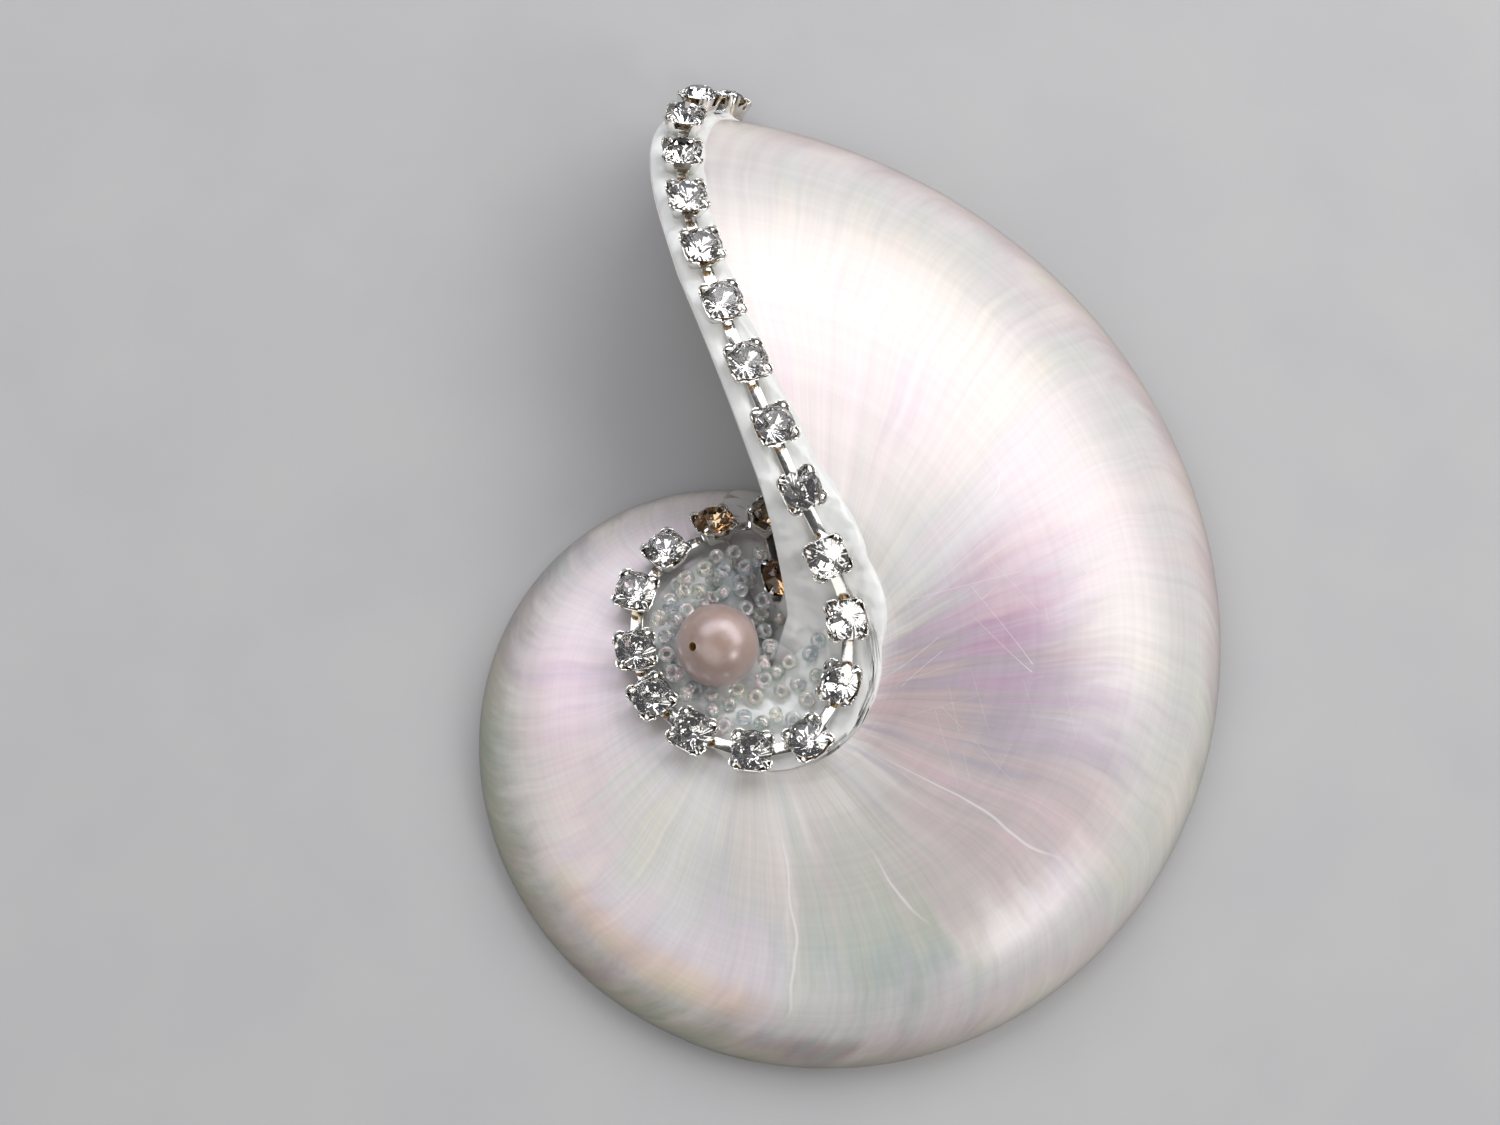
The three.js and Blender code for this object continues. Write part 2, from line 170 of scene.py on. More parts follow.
def grown_outside():
    bm = bmesh.new()
    grown = bm.verts.layers.float_vector.new("grown")
    start = lip_angle - math.tau
    line = []
    for row in range(way_rows + 1):
        way = row / way_rows
        vert = bm.verts.new(on_shell(start - growth_lag(way), way))
        vert[grown] = (0, way, 0)
        line.append(vert)
    back = list(line)
    edges = [bm.edges.new(pair) for pair in zip(line, line[1:])]
    step_turn = Matrix.Rotation(math.tau / turn_steps, 3, "Z")
    step_growth = (whorl_expansion ** (1 / turn_steps),) * 3
    for step in range(turn_steps):
        made = bmesh.ops.extrude_edge_only(bm, edges=edges)["geom"]
        line = verts_in(made)
        edges = edges_among(made, line)
        bmesh.ops.rotate(bm, verts=line, cent=(0, 0, 0), matrix=step_turn)
        bmesh.ops.scale(bm, verts=line, vec=step_growth)
        for vert in line:
            vert[grown] = ((step + 1) / turn_steps, vert[grown].y, 0)
    for vert in bm.verts:
        turns, way = vert[grown].xy
        if way > crown_way:
            angle = start + math.tau * turns - growth_lag(way)
            vert.co.z = section(angle, way)[1]
    bm.normal_update()
    for vert in bm.verts:
        turns, way = vert[grown].xy
        fine, broad = [
            noise.noise(Vector((turns * along, way * across, first)))
            for along, across, first in ripple_waves
        ]
        rim_fade = min(1, way * ripple_from_rim)
        axis_fade = min(1, (1 - way) * ripple_from_axis)
        vert.co -= vert.normal * ripple * (1 + (fine + broad)) * rim_fade * axis_fade
    chance = random.Random(11)
    for nick in range(rim_nick_count):
        spot = chance.random()
        deep = chance.uniform(rim_nick_least, 1)
        for vert in bm.verts:
            if vert[grown].y == 0 and abs(vert[grown].x - spot) < rim_nick_reach / turn_steps:
                vert.co.xy *= 1 - deep * rim_nick / lip_radius
    front = sorted(line, key=lambda vert: vert[grown].y)
    for row in range(1, undercut_rows + 1):
        made = bmesh.ops.extrude_edge_only(bm, edges=edges)["geom"]
        line = sorted(verts_in(made), key=lambda vert: vert[grown].y)
        edges = edges_among(made, line)
        share = row / undercut_rows
        for vert, lip, foot in zip(line, front, back):
            vert.co = lip.co.lerp(foot.co, share)
            deep = undercut * math.sin(math.pi * share)
            turn = min(undercut_turn, deep / max(0.1, vert.co.xy.length))
            vert.co = Matrix.Rotation(-turn, 3, "Z") @ vert.co
    bmesh.ops.remove_doubles(bm, verts=bm.verts, dist=weld)
    bmesh.ops.holes_fill(bm, edges=[edge for edge in bm.edges if edge.is_boundary], sides=0)
    bmesh.ops.recalc_face_normals(bm, faces=bm.faces)
    return bm


# The hollow of the tube: the living chamber behind the mouth, then the older chambers, each
# walled off by a septum that bows back from the lip. They all open on the cut face.
wall_ratio = 0.028
hollow_end = 0.125
hollow_end_height = 0.6
floor_film = 0.25
floor_ratio = 0.02
film_start = lip_angle - math.radians(20)
film_fade = math.radians(60)
mouth_past = math.radians(14)
chamber_sweep = math.radians(138)
septum_spacing = math.radians(19)
septum_spread = 0.012
septum_thickness = 0.055
septum_bow = math.radians(13)
septum_flatten = 0.7
chamber_count = 30
below_cut = 1.0
# Steps along the tube, cells across it and cells up it
living_cells = (44, 14, 20)
older_cells = (5, 10, 12)


def hollow_point(angle, across, up, film):
    venter = venter_radius(angle)
    wall = wall_ratio * venter
    lift = math.pi / 2 * min(1, up / crown_way)
    if up < crown_way:
        share = crown_ratio + (1 - crown_ratio) * max(0.0, math.cos(lift)) ** (2 / flank_power)
    else:
        share = crown_ratio + (hollow_end - crown_ratio) * (up - crown_way) / (1 - crown_way)
    if share > crown_ratio:
        out = (share - crown_ratio) / (1 - crown_ratio)
        lifted = bulge_ratio * math.sqrt(max(0.0, 1 - out ** flank_power))
    else:
        fall = (crown_ratio - share) / (crown_ratio - hollow_end)
        lifted = bulge_ratio * (1 + (hollow_end_height - 1) * fall)
    outer_radius = max(share * venter - wall * math.cos(lift), hollow_end * venter)
    outer_height = venter * lifted - wall * math.sin(lift)
    old_venter = venter / whorl_expansion
    inner_end_share = hollow_end * whorl_expansion
    inner_out = (inner_end_share - crown_ratio) / (1 - crown_ratio)
    inner_lift = math.acos(inner_out ** (flank_power / 2))
    turn = inner_lift * up
    inner_share = crown_ratio + (1 - crown_ratio) * math.cos(turn) ** (2 / flank_power)
    inner_radius = old_venter * inner_share + film * math.cos(turn)
    inner_height = (old_venter * bulge_ratio + film) * math.sin(turn)
    radius = inner_radius + (outer_radius - inner_radius) * across
    return polar(angle, radius, inner_height + (outer_height - inner_height) * across)


def add_hollow(bm, grown, back, front, steps, across_count, up_count, front_bow, film_at):
    """One chamber: its back septum as a bowed sheet, extruded forward along the tube."""
    sheet = bmesh.ops.create_grid(bm, x_segments=across_count, y_segments=up_count + 1, size=0.5)
    line = sheet["verts"]
    region = line + list({part for vert in line for part in (*vert.link_edges, *vert.link_faces)})
    for vert in line:
        vert[grown] = (vert.co.x + 0.5, vert.co.y + 0.5, 1)
    block = set(line)
    for step in range(steps + 1):
        if step:
            region = bmesh.ops.extrude_face_region(bm, geom=region)["geom"]
            line = verts_in(region)
            block.update(line)
        for vert in line:
            across, level = vert[grown].xy
            row = level * (up_count + 1)
            up = max(0.0, (row - 1) / up_count)
            bow = septum_bow * (1 - (2 * across - 1) ** 2) * (1 - septum_flatten * up ** 2)
            first = back - bow
            last = front - bow * front_bow
            angle = first + (last - first) * step / steps
            vert.co = hollow_point(angle, across, up, film_at(angle))
            if row < 0.5:
                vert.co.z = -below_cut
    for vert in block:
        if not vert.is_valid:
            continue
        level = vert[grown].y
        vert[grown] = ((math.atan2(vert.co.y, vert.co.x) / math.tau) % 1, level, 1)


def hollows():
    bm = bmesh.new()
    grown = bm.verts.layers.float_vector.new("grown")
    chamber_back = lip_angle - chamber_sweep

    def thin_film(angle):
        return floor_ratio * venter_radius(angle)

    def film_at(angle):
        depth = min(1, max(0, (film_start - angle) / film_fade))
        return floor_film + (thin_film(angle) - floor_film) * depth

    mouth = lip_angle + mouth_past
    add_hollow(bm, grown, chamber_back, mouth, *living_cells, front_bow=0, film_at=film_at)
    for count in range(chamber_count):
        spacing = septum_spacing * (1 + septum_spread * count)
        front = chamber_back - spacing * count - septum_thickness
        back = chamber_back - spacing * (count + 1)
        add_hollow(bm, grown, back, front, *older_cells, front_bow=1, film_at=thin_film)
    bmesh.ops.recalc_face_normals(bm, faces=bm.faces)
    return bm


def mesh_object(bm, name):
    """Turns a bmesh in millimetres into an object in metres."""
    bmesh.ops.scale(bm, verts=bm.verts, vec=(0.001,) * 3)
    mesh = bpy.data.meshes.new(name)
    bm.to_mesh(mesh)
    bm.free()
    piece = bpy.data.objects.new(name, mesh)
    scene.collection.objects.link(piece)
    return piece


def smooth_by_angle(piece, limit):
    """Smooth but for the edges that turn by more than the limit, in degrees."""
    piece.data.shade_smooth()
    piece.data.set_sharp_from_angle(angle=math.radians(limit))


# Finishes are built with these: a node with its inputs, a sum, a mix and a ramp of colours, noise
# at a place, a value brought from one range into another, and a bump.
def connect(tree, made, inputs):
    for key, value in inputs.items():
        if isinstance(value, bpy.types.NodeSocket):
            tree.links.new(value, made.inputs[key])
        else:
            made.inputs[key].default_value = value
    return made


def add(tree, kind, inputs=None, **settings):
    made = tree.nodes.new("ShaderNode" + kind)
    for key, value in settings.items():
        setattr(made, key, value)
    return connect(tree, made, inputs or {})


def calc(tree, operation, *values, clamp=False):
    inputs = dict(enumerate(values))
    return add(tree, "Math", inputs, operation=operation, use_clamp=clamp).outputs[0]


def mix(tree, factor, first, second, blend="MIX"):
    inputs = {0: factor, 6: first, 7: second}
    return add(tree, "Mix", inputs, data_type="RGBA", blend_type=blend).outputs[2]


def ramp(tree, factor, stops):
    made = add(tree, "ValToRGB", {"Fac": factor})
    while len(made.color_ramp.elements) < len(stops):
        made.color_ramp.elements.new(0.5)
    for element, (position, colour) in zip(made.color_ramp.elements, stops):
        element.position = position
        element.color = (*colour, 1)
    return made.outputs["Color"]


def noise_at(tree, place, scale, detail):
    inputs = {"Vector": place, "Scale": scale, "Detail": detail}
    return add(tree, "TexNoise", inputs).outputs[0]


def to_range(tree, value, low, high, first=0.0, last=1.0, ease="LINEAR"):
    inputs = {"Value": value, "From Min": first, "From Max": last, "To Min": low, "To Max": high}
    return add(tree, "MapRange", inputs, interpolation_type=ease).outputs[0]


def bump_from(tree, height, strength, distance):
    inputs = {"Height": height, "Strength": strength, "Distance": distance}
    return add(tree, "Bump", inputs).outputs[0]


def new_finish(name):
    """A material, its nodes, its shader, and the place on the object that patterns follow."""
    material = bpy.data.materials.new(name)
    material.use_nodes = True
    tree = material.node_tree
    place = add(tree, "TexCoord").outputs["Object"]
    return material, tree, tree.nodes["Principled BSDF"], place


def new_group(name, inputs):
    """A node group with named inputs that puts out one mask."""
    tree = bpy.data.node_groups.new(name, "ShaderNodeTree")
    for label, kind in inputs:
        tree.interface.new_socket(label, in_out="INPUT", socket_type="NodeSocket" + kind)
    tree.interface.new_socket("Mask", in_out="OUTPUT", socket_type="NodeSocketFloat")
    entry = tree.nodes.new("NodeGroupInput").outputs
    leave = tree.nodes.new("NodeGroupOutput").inputs
    return tree, entry, leave


def place_group(tree, group, inputs):
    return add(tree, "Group", inputs, node_tree=group).outputs[0]


# Streaks that follow the growth lines, or the spiral, by stretching noise over (growth, way)
streak_group, entry, leave = new_group(
    "growth_streaks",
    [("Grown", "Vector"), ("Along", "Float"), ("Across", "Float"), ("Waver", "Float")],
)
split = add(streak_group, "SeparateXYZ", {0: entry["Grown"]}).outputs
waver_noise = noise_at(streak_group, entry["Grown"], 6.0, 2.0)
wavered = calc(streak_group, "MULTIPLY_ADD", waver_noise, entry["Waver"], split[0])
stretched = add(streak_group, "CombineXYZ", {
    0: calc(streak_group, "MULTIPLY", wavered, entry["Along"]),
    1: calc(streak_group, "MULTIPLY", split[1], entry["Across"]),
    2: split[2],
}).outputs[0]
streak_noise = add(streak_group, "TexNoise", {
    "Vector": stretched, "Scale": 1.0, "Detail": 3.0, "Roughness": 0.6,
}).outputs[0]
streak_group.links.new(streak_noise, leave["Mask"])

# A soft-edged patch round one place of the shell, with a ragged border
patch_group, entry, leave = new_group(
    "pearly_patch",
    [("Grown", "Vector"), ("Centre", "Vector"), ("Size", "Vector"), ("Ragged", "Float")],
)
offset = add(patch_group, "VectorMath", {
    0: entry["Grown"], 1: entry["Centre"],
}, operation="SUBTRACT").outputs[0]
scaled = add(patch_group, "VectorMath", {0: offset, 1: entry["Size"]}, operation="DIVIDE")
away = add(patch_group, "VectorMath", {0: scaled.outputs[0]}, operation="LENGTH").outputs["Value"]
edge_noise = place_group(patch_group, streak_group, {
    "Grown": entry["Grown"], "Along": 60.0, "Across": 5.0, "Waver": 0.02,
})
ragged = calc(patch_group, "SUBTRACT", edge_noise, 0.5)
ragged = calc(patch_group, "MULTIPLY", ragged, entry["Ragged"])
from_middle = calc(patch_group, "ADD", away, ragged)
patch_mask = to_range(patch_group, from_middle, 0.0, 1.0, 1.0, 0.3, "SMOOTHSTEP")
patch_group.links.new(patch_mask, leave["Mask"])

# Hairline scratches: thin level lines of long noise, kept to a few places
scratch_group, entry, leave = new_group(
    "hairline_scratches",
    [("Place", "Vector"), ("Turn", "Float"), ("Scale", "Float"), ("Width", "Float")],
)
turned = add(scratch_group, "VectorRotate", {
    "Vector": entry["Place"], "Angle": entry["Turn"],
}, rotation_type="Z_AXIS").outputs[0]
long_place = add(scratch_group, "VectorMath", {
    0: turned, 1: (1.0, 0.025, 0.3),
}, operation="MULTIPLY").outputs[0]
long_noise = noise_at(scratch_group, long_place, entry["Scale"], 0.0)
level = calc(scratch_group, "ABSOLUTE", calc(scratch_group, "SUBTRACT", long_noise, 0.5))
line_mask = calc(scratch_group, "LESS_THAN", level, entry["Width"])
coarser = calc(scratch_group, "MULTIPLY", entry["Scale"], 0.45)
keep_noise = noise_at(scratch_group, turned, coarser, 1.0)
kept = calc(scratch_group, "GREATER_THAN", keep_noise, 0.55)
scratch_group.links.new(calc(scratch_group, "MULTIPLY", line_mask, kept), leave["Mask"])

# A pale ridge that follows one growth line for part of its way
ridge_group, entry, leave = new_group(
    "growth_ridge",
    [("Grown", "Vector"), ("Turn", "Float"), ("From Way", "Float"), ("To Way", "Float")],
)
split = add(ridge_group, "SeparateXYZ", {0: entry["Grown"]}).outputs
ridge_noise = noise_at(ridge_group, entry["Grown"], 7.0, 1.0)
ridge_place = calc(ridge_group, "MULTIPLY_ADD", ridge_noise, 0.03, split[0])
off_ridge = calc(ridge_group, "ABSOLUTE", calc(ridge_group, "SUBTRACT", ridge_place, entry["Turn"]))
ridge_line = to_range(ridge_group, off_ridge, 0.0, 1.0, 0.0013, 0.0002)
ridge_fade = 18
past_start = calc(ridge_group, "SUBTRACT", split[1], entry["From Way"])
past_start = calc(ridge_group, "MULTIPLY", past_start, ridge_fade, clamp=True)
before_end = calc(ridge_group, "SUBTRACT", entry["To Way"], split[1])
before_end = calc(ridge_group, "MULTIPLY", before_end, ridge_fade, clamp=True)
in_reach = calc(ridge_group, "MULTIPLY", past_start, before_end)
ridge_group.links.new(calc(ridge_group, "MULTIPLY", ridge_line, in_reach), leave["Mask"])

pearl_white = (0.74, 0.715, 0.695)
# Each ridge: its growth, and the ways where it starts and ends
nacre_ridges = [(0.631, 0.34, 0.6), (0.490, 0.22, 0.56), (0.560, 0.38, 0.52)]
# Each set of scratches: the turn they run at and how fine they are
nacre_scratches = [(0.5, 150.0), (1.3, 190.0), (2.4, 170.0), (2.9, 210.0), (0.9, 230.0)]
scratch_width = 0.0008
sawn_height = 0.00004
lustre_in_patch = 0.35
lustre_wheel = [
    (0.0, (0.80, 0.71, 0.60)),
    (0.16, (0.76, 0.58, 0.60)),
    (0.32, (0.54, 0.40, 0.52)),
    (0.48, (0.50, 0.53, 0.60)),
    (0.62, (0.40, 0.54, 0.48)),
    (0.80, (0.62, 0.66, 0.50)),
    (1.0, (0.80, 0.71, 0.60)),
]
# Each patch: growth and way of its middle, its size in both, its strength and its colour
nacre_tints_and_rim_shade = [
    ((0.700, 0.57), (0.13, 0.22), 1.0, (0.47, 0.31, 0.385)),
    ((0.640, 0.44), (0.09, 0.20), 0.85, (0.47, 0.35, 0.43)),
    ((0.575, 0.47), (0.05, 0.2), 0.7, (0.42, 0.36, 0.40)),
    ((0.520, 0.42), (0.07, 0.22), 0.75, (0.36, 0.42, 0.38)),
    ((0.440, 0.46), (0.06, 0.16), 0.5, (0.60, 0.50, 0.51)),
    ((0.330, 0.42), (0.10, 0.16), 0.6, (0.78, 0.71, 0.62)),
    ((0.400, 0.25), (0.10, 0.07), 0.85, (0.76, 0.66, 0.49)),
    ((0.230, 0.36), (0.08, 0.15), 0.6, (0.74, 0.61, 0.68)),
    ((0.500, 0.14), (0.03, 0.06), 0.7, (0.36, 0.28, 0.21)),
    # The last three patches make a band along the rim darker: painted shade, pinkish beige at the
    # upper right, and a painted grey-green reflection of dark surroundings at the left and bottom.
    ((0.860, 0.08), (0.24, 0.18), 0.8, (0.46, 0.38, 0.375)),
    ((0.23, 0.05), (0.30, 0.24), 0.9, (0.24, 0.29, 0.26)),
    ((0.46, 0.06), (0.16, 0.18), 0.8, (0.27, 0.30, 0.27)),
]

nacre, tree, body, object_place = new_finish("mother_of_pearl")
grown_place = add(tree, "Attribute", attribute_name="grown").outputs["Vector"]
turns, way, inside = add(tree, "SeparateXYZ", {0: grown_place}).outputs
fine_streaks = place_group(tree, streak_group, {
    "Grown": grown_place, "Along": 300.0, "Across": 2.5, "Waver": 0.012,
})
broad_streaks = place_group(tree, streak_group, {
    "Grown": grown_place, "Along": 55.0, "Across": 2.0, "Waver": 0.03,
})
spiral_streaks = place_group(tree, streak_group, {
    "Grown": grown_place, "Along": 2.5, "Across": 95.0, "Waver": 0.0,
})
slow_noise = noise_at(tree, object_place, 28.0, 2.0)
phase = calc(tree, "MULTIPLY_ADD", broad_streaks, 1.1, calc(tree, "MULTIPLY", slow_noise, 2.6))
phase = calc(tree, "MULTIPLY_ADD", way, 1.3, phase)
phase = calc(tree, "MULTIPLY_ADD", fine_streaks, 0.25, phase)
phase = calc(tree, "FRACT", phase)
lustre = ramp(tree, phase, lustre_wheel)
lustre_amount = to_range(tree, broad_streaks, 0.08, 0.3, 0.3, 0.75)
outside = calc(tree, "SUBTRACT", 1.0, inside, clamp=True)
inside_calm = calc(tree, "MULTIPLY_ADD", outside, 0.7, 0.3)
lustre_amount = calc(tree, "MULTIPLY", lustre_amount, inside_calm)
colour = mix(tree, lustre_amount, (*pearl_white, 1), lustre)
for centre, size, strength, tint in nacre_tints_and_rim_shade:
    mask = place_group(tree, patch_group, {
        "Grown": grown_place, "Centre": (*centre, 0), "Size": (*size, 1), "Ragged": 0.9,
    })
    tinted = mix(tree, lustre_in_patch, (*tint, 1), lustre)
    amount = calc(tree, "MULTIPLY", calc(tree, "MULTIPLY", mask, strength), outside)
    colour = mix(tree, amount, colour, tinted)
streak_shade = to_range(tree, fine_streaks, 0.93, 1.04, 0.3, 0.7)
striae_shade = to_range(tree, spiral_streaks, 0.96, 1.03, 0.3, 0.7)
shade = calc(tree, "MULTIPLY", streak_shade, striae_shade)
# Painted shade: the colour is made darker towards the cut rim, over the first fifth of the way up.
painted_rim_shade = to_range(tree, way, 0.74, 1.0, 0.0, 0.2, "SMOOTHSTEP")
shade = calc(tree, "MULTIPLY", shade, painted_rim_shade)
grey = add(tree, "CombineColor", {0: shade, 1: shade, 2: shade}).outputs[0]
colour = mix(tree, 1.0, colour, grey, "MULTIPLY")
scratches = None
for turn, scale in nacre_scratches:
    made = place_group(tree, scratch_group, {
        "Place": object_place, "Turn": turn, "Scale": scale, "Width": scratch_width,
    })
    scratches = made if scratches is None else calc(tree, "MAXIMUM", scratches, made)
scratch_zone = place_group(tree, patch_group, {
    "Grown": grown_place, "Centre": (0.72, 0.55, 0), "Size": (0.16, 0.3, 1), "Ragged": 0.3,
})
scratches = calc(tree, "MULTIPLY", calc(tree, "MULTIPLY", scratches, scratch_zone), outside)
ridges = None
for turn, from_way, to_way in nacre_ridges:
    made = place_group(tree, ridge_group, {
        "Grown": grown_place, "Turn": turn, "From Way": from_way, "To Way": to_way,
    })
    ridges = made if ridges is None else calc(tree, "MAXIMUM", ridges, made)
ridges = calc(tree, "MULTIPLY", calc(tree, "MULTIPLY", ridges, 0.7), outside)
pale_marks = calc(tree, "MAXIMUM", scratches, ridges)
colour = mix(tree, calc(tree, "MULTIPLY", pale_marks, 0.65), colour, (0.95, 0.94, 0.93, 1))
height_above = add(tree, "SeparateXYZ", {0: object_place}).outputs[2]
sawn = calc(tree, "LESS_THAN", height_above, sawn_height)
sawn_noise = noise_at(tree, object_place, 900.0, 4.0)
sawn_colour = ramp(tree, sawn_noise, [(0.3, (0.62, 0.57, 0.49)), (0.7, (0.80, 0.77, 0.70))])
colour = mix(tree, sawn, colour, sawn_colour)
gloss_noise = noise_at(tree, object_place, 180.0, 3.0)
gloss = calc(tree, "MULTIPLY_ADD", sawn, 0.4, to_range(tree, gloss_noise, 0.30, 0.42))
relief = calc(tree, "MULTIPLY_ADD", fine_streaks, 0.6, calc(tree, "MULTIPLY", spiral_streaks, 0.25))
relief = calc(tree, "MULTIPLY_ADD", scratches, -0.5, relief)
connect(tree, body, {
    "Base Color": colour, "Roughness": gloss, "Normal": bump_from(tree, relief, 0.1, 0.00012),
    "Metallic": 0.12, "IOR": 1.6, "Coat Weight": 0.36, "Coat Roughness": 0.22,
    "Thin Film Thickness": 295, "Thin Film IOR": 1.4,
})

shell = mesh_object(grown_outside(), "nautilus_half")
cutter = mesh_object(hollows(), "hollows")
cut = shell.modifiers.new("cut", "BOOLEAN")
cut.operation = "DIFFERENCE"
cut.object = cutter
cut.solver = "EXACT"
depsgraph = bpy.context.evaluated_depsgraph_get()
carved = bpy.data.meshes.new_from_object(shell.evaluated_get(depsgraph))
shell.modifiers.clear()
shell.data = carved
bpy.data.objects.remove(cutter)
low, high = cad_box
for vert in carved.vertices:
    for axis in range(3):
        vert.co[axis] = min(max(vert.co[axis], low[axis]), high[axis])
smooth_by_angle(shell, 40)
shell.data.materials.clear()
shell.data.materials.append(nacre)
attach(shell, "root")
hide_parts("shell")

# Chain cups
# A cup chain of silver-plated brass. Each cup is pressed from sheet: a square foot, a wall cut
# down between the corners, and four claws folded over the stone. A flat link joins it to the
# next cup, pushed up close where the chain coils.
cup_foot = 1.5
cup_half = 2.24
cup_sides = 64
cup_sheet = 0.2
window_height = 1.05
claw_shoulder = 2.15
claw_height = claw_shoulder - window_height
foot_power = 5
foot_flare = 1.06
foot_height = 0.12
wall_flare = 1.2
cup_flare = cup_half / (cup_foot * foot_flare * wall_flare)
# Each rise of the cup: how far from its corners the sheet goes on, in degrees, how much it spreads
# and how high it rises. All of the sheet is within 46 degrees of a corner.
all_round = 46
cup_rises = [
    (all_round, foot_flare, foot_height),
    (all_round, wall_flare, window_height - foot_height),
    (27, cup_flare, claw_height * 0.8),
    (18, 1.0, claw_height * 0.2),
    (9, 0.93, 0.26),
    (all_round, 0.85, 0.14),
    (all_round, 0.85, 0.08),
]
tip_middle = 0.05
tip_narrow = 0.97
tip_wide = 1.03
cup_edge = 0.045
cup_edge_angle = 1.0
chain_gap = 0.4
lean_pivot = 1.55
link_width = 1.25
link_thickness = 0.32
link_lift = 0.5
link_bite = 0.5
link_tuck = 0.35
link_edge = 0.07
chain_stations = [
    (92, 0.05), (95.3, 0.14), (97.5, 0.23), (99, 0.31), (99.8, 0.376), (99.5, 0.434),
    (98.3, 0.487), (95.8, 0.536), (91.4, 0.578), (83.2, 0.626), (64.4, 0.707), (33, 0.752),
    (-13, 0.771), (-64, 0.709), (-104, 0.659), (-142, 0.591), (-168, 0.553), (-190, 0.514),
    (-213, 0.455), (-232, 0.424), (-252, 0.396), (-270, 0.363), (-277.5, 0.51),
]
cup_leans = {19: 6, 20: 14, 21: 22, 22: 22}


def chain_frames():
    feet = [on_shell(math.radians(angle), way) for angle, way in chain_stations]
    frames = []
    for index, (turn, way) in enumerate(chain_stations):
        angle = math.radians(turn)
        normal = shell_normal(angle, way)
        along = feet[min(len(feet) - 1, index + 1)] - feet[max(0, index - 1)]
        along = (along - normal * along.dot(normal)).normalized()
        lean = math.radians(cup_leans.get(index + 1, 0))
        outward = normal.cross(along)
        if outward.dot(polar(angle, 1, 0)) < 0:
            outward.negate()
        up = normal * math.cos(lean) + outward * math.sin(lean)
        side = up.cross(along)
        base = feet[index] + normal * (chain_gap + lean_pivot * math.sin(lean))
        turned = Matrix((along, side, up)).transposed().to_4x4()
        frames.append(Matrix.Translation(base) @ turned)
    return frames


def square_radius(angle, power):
    return (abs(math.cos(angle)) ** power + abs(math.sin(angle)) ** power) ** (-1 / power)


def corner_offset(vert):
    """Angle from the nearest corner of the cup."""
    quarter = math.pi / 2
    turn = math.atan2(vert.co.y, vert.co.x) - math.pi / 4
    return abs((turn + quarter / 2) % quarter - quarter / 2)


def raise_edges(bm, edges, spread, lift):
    made = bmesh.ops.extrude_edge_only(bm, edges=edges)["geom"]
    verts = verts_in(made)
    bmesh.ops.scale(bm, verts=verts, vec=(spread, spread, 1))
    bmesh.ops.translate(bm, verts=verts, vec=(0, 0, lift))
    return verts, edges_among(made, verts)


def near_corners(edges, limit):
    reach = math.radians(limit)
    return [edge for edge in edges if max(corner_offset(vert) for vert in edge.verts) < reach]


def round_edges(bm, edges, offset):
    return bmesh.ops.bevel(bm, geom=edges, offset=offset, offset_type="OFFSET", affect="EDGES",
                           segments=2, profile=0.5, material=-1, clamp_overlap=True)


def cup_mesh(bm):
    verts = bmesh.ops.create_circle(bm, segments=cup_sides, radius=cup_foot, cap_ends=True)["verts"]
    for vert in verts:
        vert.co *= square_radius(math.atan2(vert.co.y, vert.co.x), foot_power)
    edges = [edge for edge in bm.edges if edge.is_boundary]
    for limit, spread, lift in cup_rises:
        verts, edges = raise_edges(bm, near_corners(edges, limit), spread, lift)
    for vert in verts:
        vert.co.xy *= tip_wide if corner_offset(vert) > tip_middle else tip_narrow
    bmesh.ops.recalc_face_normals(bm, faces=bm.faces)
    bmesh.ops.solidify(bm, geom=bm.faces[:], thickness=cup_sheet)
    bmesh.ops.recalc_face_normals(bm, faces=bm.faces)
    bm.normal_update()
    inner = [edge for edge in bm.edges if edge.is_manifold]
    hard = [edge for edge in inner if edge.calc_face_angle() > cup_edge_angle]
    round_edges(bm, hard, cup_edge)


def link_mesh(bm, reach, direction):
    start = cup_foot - link_bite
    end = reach - cup_foot + link_tuck
    verts = bmesh.ops.create_cube(bm, size=1)["verts"]
    bmesh.ops.scale(bm, verts=verts, vec=(end - start, link_width, link_thickness))
    bmesh.ops.translate(bm, verts=verts, vec=((start + end) / 2, 0, link_lift))
    edges = list({edge for vert in verts for edge in vert.link_edges})
    made = round_edges(bm, edges, link_edge)
    verts = list({vert for face in made["faces"] for vert in face.verts})
    turn = Vector((1, 0, 0)).rotation_difference(direction).to_matrix()
    bmesh.ops.rotate(bm, verts=verts, cent=(0, 0, 0), matrix=turn)


silver, tree, body, object_place = new_finish("silver_plate")
tarnish = noise_at(tree, object_place, 420.0, 3.0)
wear = noise_at(tree, object_place, 2600.0, 3.0)
silvery = [(0.35, (0.88, 0.88, 0.87)), (0.62, (0.80, 0.78, 0.72)), (0.8, (0.55, 0.50, 0.40))]
connect(tree, body, {
    "Base Color": ramp(tree, tarnish, silvery), "Roughness": to_range(tree, wear, 0.06, 0.26),
    "Normal": bump_from(tree, wear, 0.15, 0.00005), "Metallic": 1,
})

frames = chain_frames()
for index, place in enumerate(frames):
    label = f"{index + 1:02d}"
    bm = bmesh.new()
    cup_mesh(bm)
    if index < len(frames) - 1:
        local = place.inverted() @ frames[index + 1].translation
        link_mesh(bm, local.length, local.normalized())
    bmesh.ops.transform(bm, matrix=place, verts=bm.verts)
    cup = mesh_object(bm, f"cup_{label}")
    smooth_by_angle(cup, 38)
    cup.data.materials.append(silver)
    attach(cup, "root")
    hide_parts(f"setting_{label}")
